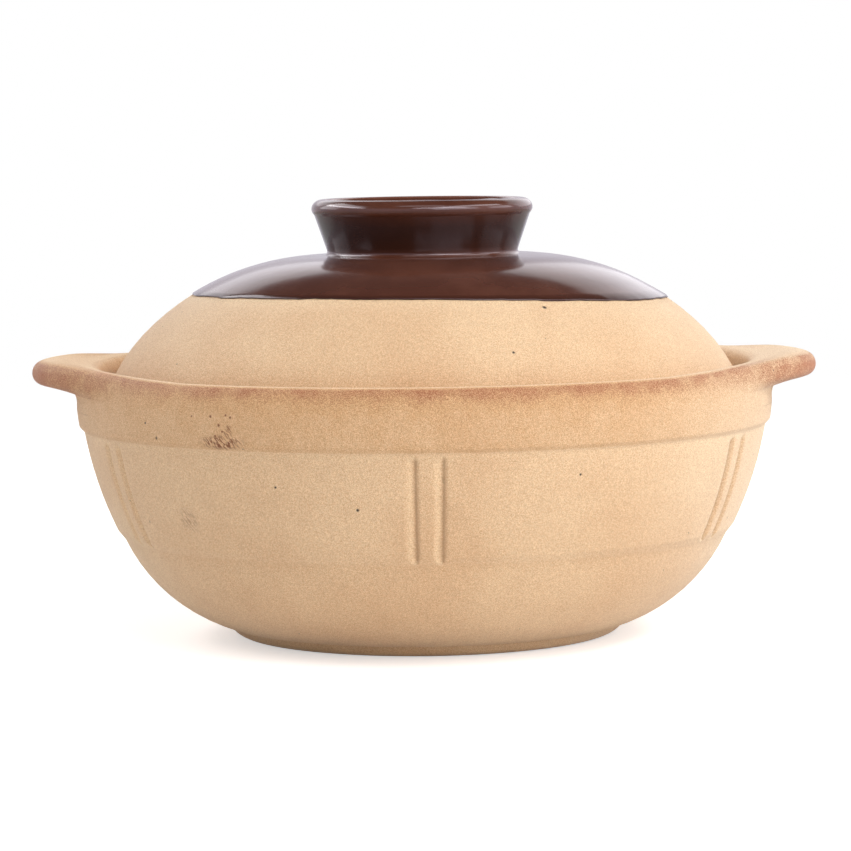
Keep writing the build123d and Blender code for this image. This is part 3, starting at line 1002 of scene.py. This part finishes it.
def smooth_curve(stops, pieces):
    """A smooth run of points through the stops."""
    made = []
    for i in range(len(stops) - 1):
        four = [stops[min(max(i + k, 0), len(stops) - 1)] for k in (-1, 0, 1, 2)]
        made += [tuple(between(*axis, k / pieces) for axis in zip(*four)) for k in range(pieces)]
    return made + [stops[-1]]


def cut_evenly(points, count):
    """This many points, evenly along a run of points."""
    length = sum(math.dist(a, b) for a, b in zip(points, points[1:]))
    made = spaced(points, length / (count - 1))
    if len(made) != count:
        raise RuntimeError("a section was cut into the wrong number of points")
    return made


def cut_between(points, cuts):
    """A run of points cut evenly between each two of its cuts, as the ears are."""
    made = []
    for low, high, count in zip(cuts, cuts[1:], EAR_CUTS):
        made += cut_evenly(points[low:high + 1], count)[1 if made else 0:]
    return made


def plain_rim(softness):
    """The bowl's rim where an ear grows out of it, with as many points as the ear's section."""
    (_, first_height), (_, last_height) = EAR_CURVE[0], EAR_CURVE[-1]
    rim = [p for p in bowl_outline(softness) if p[0] > GALLERY_RADIUS - 0.5 and p[1] > last_height]
    rim = rim[next(i for i, p in enumerate(rim) if p[1] > first_height):]
    crest = max(range(len(rim)), key=lambda i: rim[i][1])
    cuts = [0, crest]
    for height in (RIM_TIP_HEIGHT, EAR_CURVE[EAR_CORNER][1]):
        cuts.append(min(range(crest, len(rim)), key=lambda i: abs(rim[i][1] - height)))
    return cut_between(rim, [*cuts, len(rim) - 1])


def ear_brown(radius, height):
    """How the flame browned the ear's section: little on top, more at its tip, and most under it."""
    if height > 99.0:
        return 0.06 + 0.9 * clamped((radius - 138.8) / 3.0)
    if radius > 129:
        return 1.3
    return flame_and_painted_lines_at(height) if radius > 126 else 0.3


def ear_section(turn, plain, flared, tucked):
    """The ear's outer skin at a turn in degrees from its middle, and how browned each point is."""
    swing = math.cos(math.radians(90 * min(1.0, abs(turn) / EAR_HALF_ANGLE)))
    out, up = swing ** EAR_FLARE_POWER, swing ** EAR_LIFT_POWER
    rise = RIM_RISE * eased((EAR_REACH_ANGLE - abs(turn)) / 28) * (1 + 0.5 * eased(turn / 25))
    skin, tones = [], []
    for (pr, pz), (fr, fz), low in zip(plain, flared, tucked):
        r = pr + (fr - pr) * out
        lift = up if fz > EAR_TIP_HEIGHT else out + (up - out) * max(0.0, (fz - 93) / 4.3)
        z = pz + (fz - pz) * lift
        z += rise * eased((z - 92.5) / 5) * eased((143 - r) / 11)
        raised = min(1.0, math.dist((r, z), (pr, pz)) / 0.25)
        skin.append(tuple(a + (b - a) * raised for a, b in zip(low, (r, z))))
        bare = flame_and_painted_lines_at(pz) if pr > 121 else INSIDE_TONE
        tones.append(bare * (1 - out) + ear_brown(fr, fz) * out)
    return skin, tones


class SANDPOT_OT_ears(bpy.types.Operator):
    """Draw the two ears out of the rim"""

    bl_idname = "sandpot.ears"
    bl_label = "Ears"

    def execute(self, context):
        clay = finish_named("Bare Fired Clay")
        plain = plain_rim(context.scene.sandpot_bowl.softness / MM)
        curve = smooth_curve(EAR_CURVE, CURVE_PIECES)
        stops = (0, EAR_CREST, EAR_TIP, EAR_CORNER, len(EAR_CURVE) - 1)
        flared = cut_between(curve, [stop * CURVE_PIECES for stop in stops])
        sunk, tucked = moved_in(plain, SUNK), moved_in(plain, TUCKED)
        rows, tones = [], []
        for i in range(2 * EAR_ROWS + 1):
            turn = EAR_REACH_ANGLE * (i / EAR_ROWS - 1)
            skin, browned = ear_section(turn, plain, flared, tucked)
            cos, sin = math.cos(math.radians(turn)), math.sin(math.radians(turn))
            rows.append([(r * cos, r * sin, z) for r, z in (*skin, *reversed(sunk))])
            tones.append([*browned, *reversed(browned)])
        right = grid_piece("right_flared_ear", rows, clay, tones)
        mirrored = [[(-x, y, z) for x, y, z in row] for row in reversed(rows)]
        left = grid_piece("left_flared_ear", mirrored, clay, list(reversed(tones)))
        join_frame(right, "pot", "right_ear")
        join_frame(left, "pot", "left_ear")
        return {"FINISHED"}


KNOB_REACH = 50  # radius that parts the knob's points from the dome's
COAT_DEPTH = 0.7  # thickness of the dipped glaze's skin, which reaches into the clay
COAT_NOSE = (0.5, 0.3)  # how far the glaze's rounded edge runs ahead of its outline, and in from it
KNOB_SINK = 0.4  # how far the knob reaches into the lid's crown


def crown_arc():
    """The clay's outline from the edge of the lid's crown to its shoulder."""
    return [CROWN, *arc(CROWN, (1, 0), SHOULDER, 48)]


def dome_outline(grow):
    """The outside of the lid, from the edge of its crown down to its rim, this far out from the clay."""
    upper = [(CROWN_RADIUS, CROWN_HEIGHT + grow), *moved_in(crown_arc(), -grow)[1:]]
    return [*upper, *arc(upper[-1], last_way(upper), (LID_RADIUS + grow, LID_EDGE_HEIGHT))]


def knob_outline(grow):
    """The knob's section, from the middle of its floor up its inside, over the lip and down to the crown."""
    inner = NECK_RADIUS - KNOB_WALL - grow
    floor = CROWN_HEIGHT + grow
    wide, high = LIP_RADIUS - KNOB_CREST_RADIUS + grow, KNOB_CREST_HEIGHT - LIP_HEIGHT + grow
    lip = quarter((KNOB_CREST_RADIUS, LIP_HEIGHT), wide, high, 0)
    middle = (KNOB_CREST_RADIUS, KNOB_CREST_HEIGHT - KNOB_ROUND)
    inside = quarter(middle, KNOB_ROUND + grow, KNOB_ROUND + grow, 1, 8)
    notch = (LIP_RADIUS + grow - 2 * LIP_NOTCH, LIP_FOOT_HEIGHT - 0.6)
    under_lip = arc((LIP_RADIUS + grow, LIP_HEIGHT), (0, -1), notch, 8)
    neck = (NECK_RADIUS + grow, NECK_HEIGHT)
    return [
        (0, floor), *arc((inner - KNOB_ROUND, floor), (1, 0), (inner, floor + KNOB_ROUND), 8),
        *reversed(inside), *reversed(lip), *under_lip, neck,
        *arc(neck, way_from(under_lip[-1], neck), (NECK_FOOT_RADIUS + grow, floor), 12),
    ]


def dome_tone(height):
    """How browned the bare lid is: more at its rim, and paler in a band that reaches up under the glaze line.
    """
    return 0.3 * clamped((104 - height) / 12) - 0.5 * clamped((height - DIP_HEIGHT + 2.6) / 1.2)


def coat_tone(radius, height):
    """Above 0 where the glaze ran thin over the knob's crest, below 0 where it pooled at its lower edge and
    on the knob's neck, which is painted darker as shade under the lip.
    """
    crest = max(0.0, 1 - math.dist((radius, height), (KNOB_CREST_RADIUS - 1.2, KNOB_CREST_HEIGHT + 0.2)))
    darkest_glaze = clamped((DIP_HEIGHT + 1.0 - height) / 0.8) if radius > KNOB_REACH else 0.0
    neck = 0.0
    # Painted shade: the glaze on the neck, under the lip, is painted darker.
    if NECK_RADIUS < radius < KNOB_REACH:
        neck = clamped(min((LIP_FOOT_HEIGHT - height) / 2.0, (height - CROWN_HEIGHT - 1.5) / 3.0))
    return crest - 0.6 * darkest_glaze - 0.85 * neck


class SANDPOT_OT_lid(bpy.types.Operator):
    """Turn the domed lid and dip it in glaze"""

    bl_idname = "sandpot.lid"
    bl_label = "Lid"

    def execute(self, context):
        size = context.scene.sandpot_lid
        clay, glaze = finish_named("Bare Fired Clay"), finish_named("Brown Glaze")
        tree = group_named("Turned Piece", turning_tree)
        inner = moved_in(crown_arc(), LID_WALL)
        inner += arc(inner[-1], last_way(inner), (LID_RADIUS - LID_WALL, LEDGE_HEIGHT))
        outline = [
            (0, CROWN_HEIGHT), *dome_outline(0), (LID_RADIUS, LEDGE_HEIGHT),
            *reversed(inner), (0, CROWN_HEIGHT - LID_WALL),
        ]
        outline = thinned(softened(outline, 0.9)[::-1])[::-1]
        tones = [dome_tone(z) for r, z in outline]
        dome = turned_piece("domed_lid", outline, tree, {"Sides": size.sides, "Material": clay}, tones)
        join_frame(dome, "lid", "lid_dome")

        dipped = [p for p in dome_outline(COAT) if p[0] > CROWN_RADIUS + 0.4 and p[1] > DIP_HEIGHT]
        seen = softened([*knob_outline(COAT), *dipped], 0.3)
        hidden = moved_in(seen, COAT_DEPTH)
        x, y = way_from(seen[-12], seen[-1])
        x, y = x / math.hypot(x, y), y / math.hypot(x, y)
        ahead, inward = COAT_NOSE
        nose = (seen[-1][0] + x * ahead + y * inward, seen[-1][1] + y * ahead - x * inward)
        under = thinned(softened(hidden, 0.4), 14.0, 8.0)
        points = [*thinned(seen, 5.0, 4.0), nose, hidden[-1], *reversed(under[:-1])]
        shares = [clamped((DIP_HEIGHT + 4 - z) / 4) if r > KNOB_REACH else 0.0 for r, z in points]
        hem = [(x * share, y * share) for share in shares]
        values = {
            "Sides": size.sides, "Hem Tilt": size.dip_tilt, "Hem Sway": size.dip_sway,
            "Hem Ripple": size.dip_ripple, "Seed": float(size.ripple_seed), "Material": glaze,
        }
        tones = [coat_tone(r, z) for r, z in points]
        coat = turned_piece("dipped_glaze", points, tree, values, tones, None, hem)
        join_frame(coat, "lid", "lid_glaze")

        sunk = CROWN_HEIGHT - KNOB_SINK
        points = thinned(softened([*knob_outline(0), (NECK_FOOT_RADIUS, sunk), (0, sunk)], 0.3))
        knob = turned_piece("ring_knob", points, tree, {"Sides": 200, "Material": clay})
        join_frame(knob, "lid", "lid_knob")
        return {"FINISHED"}


# Each lamp: whose power it takes and what share of it, its width and height in metres, its azimuth
# from the front to the right and its elevation in degrees, and whether it lights the pot or only
# gleams in the glaze.
LAMPS = {
    "key_box": ("key_power", 0.4, 1.4, 0.6, 36, 22, True),
    "high_box": ("key_power", 0.6, 2.0, 0.4, 62, 46, True),
    "right_box": ("right_power", 1.0, 0.9, 0.5, 92, 20, True),
    "left_box": ("left_power", 0.75, 1.6, 0.5, -108, 41, True),
    "front_box": ("front_power", 1.0, 1.0, 0.5, 0, 60, True),
    "left_low_box": ("left_power", 0.25, 0.9, 0.5, -116, 18, True),
    "right_gleam": ("gleam_power", 1.0, 1.5, 0.25, 21, 34, False),
    "left_gleam": ("gleam_power", 1.0, 1.7, 0.25, -100, 34, False),
    "back_right_box": ("back_power", 0.75, 1.5, 0.9, 146, 24, True),
    "back_left_box": ("back_power", 0.25, 1.0, 0.5, -160, 25, True),
}
LAMP_DISTANCE, LAMP_AIM = 1.6, Vector((0, 0, 0.08))
FLOOR_REACH, FLOOR_SIDES = 1.4, 96
FLOOR_FADE = (0.7, 1.35)  # radii in metres between which the floor fades out
FLOOR_HOLE = 65 * MM  # it is clear under the foot, so that the underside isn't black from below
CAMERA_PLACE = (0.000283, -1.3382, 0.18924)
CAMERA_PITCH, CAMERA_ROLL = 0.0846, 0.0128  # in radians
ROOM_RISE = (0.3, 0.62)  # from where to where the room darkens upwards, as sines of the elevation
ROOM_GLOSS, ROOM_GLOSS_TINT = 0.87, (0.93, 0.9, 1.0)  # the room's strength and colour in gloss
FLOOR_GLOSS_DIM, FLOOR_GLOSS_GLOW = 0.6, 0.3  # how much darker the floor is in gloss, and its glow there


def add_floor(look):
    """A pale disc that shows the pot's shadow, is dimmer in gloss, and is clear from below."""
    mesh = bpy.data.meshes.new("floor")
    angles = [i * math.tau / FLOOR_SIDES for i in range(FLOOR_SIDES)]
    ring = [(FLOOR_REACH * math.cos(a), FLOOR_REACH * math.sin(a), 0.0) for a in angles]
    mesh.from_pydata(ring, [], [tuple(range(FLOOR_SIDES))])
    material, nodes, shader = new_material("Pale Floor")
    shader.inputs["Roughness"].default_value = 0.9
    camera, mirrored = nodes.light_rays()
    nodes.join(nodes.blend(mirrored * FLOOR_GLOSS_DIM, look.floor, BLACK), shader.inputs["Base Color"])
    strength = camera.at_least(mirrored * FLOOR_GLOSS_GLOW) * look.floor_glow
    glow = nodes.value("ShaderNodeEmission", 0, {"Color": (*WHITE, 1.0), "Strength": strength})
    solid = nodes.value("ShaderNodeAddShader", 0, {0: Value(nodes, shader.outputs[0]), 1: glow})
    reach = nodes.vector("LENGTH", nodes.value("ShaderNodeTexCoord", "Object"))
    faded = nodes.ramp(reach, *FLOOR_FADE).at_least(reach < FLOOR_HOLE)
    faded = faded.at_least(nodes.value("ShaderNodeNewGeometry", "Backfacing"))
    clear = nodes.value("ShaderNodeBsdfTransparent")
    mixed = nodes.value("ShaderNodeMixShader", 0, {0: faded, 1: solid, 2: clear})
    nodes.join(mixed, material.node_tree.nodes["Material Output"].inputs["Surface"])
    mesh.materials.append(material)
    floor = linked_object("floor", mesh)


def add_room(look):
    """A pale room, brighter low down, that the camera and gloss see nearly white."""
    world = bpy.data.worlds.new("Soft Room")
    world.use_nodes = True
    nodes = Nodes(world.node_tree)
    background = world.node_tree.nodes["Background"]
    rise = nodes.axes(nodes.value("ShaderNodeTexCoord", "Generated"))[2]
    camera, mirrored = nodes.light_rays()
    walls = camera.at_least(mirrored * ROOM_GLOSS) * (1 - look.room) + look.room
    level = nodes.ramp(rise, *ROOM_RISE, 0.9, 0.0) * walls + 0.1
    nodes.join(level, background.inputs["Strength"])
    nodes.join(nodes.blend(mirrored, WHITE, ROOM_GLOSS_TINT), background.inputs["Color"])
    bpy.context.scene.world = world


def add_lamp(name, power, width, height, azimuth, elevation, lights):
    """A soft box that is turned to the pot from a distance and isn't seen itself."""
    data = bpy.data.lights.new(name, "AREA")
    data.shape, data.size, data.size_y, data.energy = "RECTANGLE", width, height, power
    made = linked_object(name, data)
    side, rise = math.radians(azimuth), math.radians(elevation)
    away = Vector((math.sin(side) * math.cos(rise), -math.cos(side) * math.cos(rise), math.sin(rise)))
    made.location = away * LAMP_DISTANCE + LAMP_AIM
    made.rotation_euler = (-away).to_track_quat("-Z", "Y").to_euler()
    made.visible_camera = False
    made.visible_diffuse = lights


def add_camera(look):
    """The photograph's camera, which looks down a little and is rolled a little."""
    data = bpy.data.cameras.new("camera")
    data.lens, data.sensor_width, data.sensor_fit = look.lens, 36.0, "HORIZONTAL"
    data.clip_start, data.clip_end = 0.05, 50.0
    up = Vector((0, math.sin(CAMERA_PITCH), math.cos(CAMERA_PITCH)))
    right = Vector((math.cos(CAMERA_ROLL), 0, 0)) - up * math.sin(CAMERA_ROLL)
    top = Vector((math.sin(CAMERA_ROLL), 0, 0)) + up * math.cos(CAMERA_ROLL)
    turn = Matrix((right, top, right.cross(top))).transposed().to_4x4()
    camera = linked_object("camera", data)
    camera.matrix_world = Matrix.Translation(CAMERA_PLACE) @ turn
    bpy.context.scene.camera = camera


class SANDPOT_OT_stage(bpy.types.Operator):
    """Set the floor, the room, the lamps and the camera"""

    bl_idname = "sandpot.stage"
    bl_label = "Stage"

    def execute(self, context):
        look = context.scene.sandpot_stage
        add_floor(look)
        add_room(look)
        for name, (power, share, *rest) in LAMPS.items():
            add_lamp(name, getattr(look, power) * share, *rest)
        add_camera(look)
        context.scene.view_settings.view_transform = "Standard"
        return {"FINISHED"}


class SANDPOT_PT_panel(bpy.types.Panel):
    """Builds the pot piece by piece"""

    bl_idname = "SANDPOT_PT_panel"
    bl_label = "Sand Pot"
    bl_space_type = "VIEW_3D"
    bl_region_type = "UI"
    bl_category = "Sand Pot"

    def draw(self, context):
        for step in STEPS:
            self.layout.operator(step.bl_idname)
        for settings in SETTINGS:
            box = self.layout.box()
            box.label(text=settings)
            group = getattr(context.scene, settings)
            for name in group.bl_rna.properties.keys():
                if name not in ("rna_type", "name"):
                    box.prop(group, name)


STEPS = (SANDPOT_OT_finishes, SANDPOT_OT_bowl, SANDPOT_OT_ears, SANDPOT_OT_lid, SANDPOT_OT_stage)
SETTINGS = {
    "sandpot_bowl": BowlSettings,
    "sandpot_lid": LidSettings,
    "sandpot_clay": ClaySettings,
    "sandpot_glaze": GlazeSettings,
    "sandpot_stage": StageSettings,
}


def register():
    for kind in (*SETTINGS.values(), *STEPS, SANDPOT_PT_panel):
        bpy.utils.register_class(kind)
    for name, kind in SETTINGS.items():
        setattr(bpy.types.Scene, name, PointerProperty(type=kind))


def unregister():
    for name in SETTINGS:
        delattr(bpy.types.Scene, name)
    for kind in reversed((*SETTINGS.values(), *STEPS, SANDPOT_PT_panel)):
        bpy.utils.unregister_class(kind)


def main():
    """Registers the add-on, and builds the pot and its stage."""
    register()
    for step in STEPS:
        family, action = step.bl_idname.split(".")
        getattr(getattr(bpy.ops, family), action)()


if __name__ == "__main__":
    main()
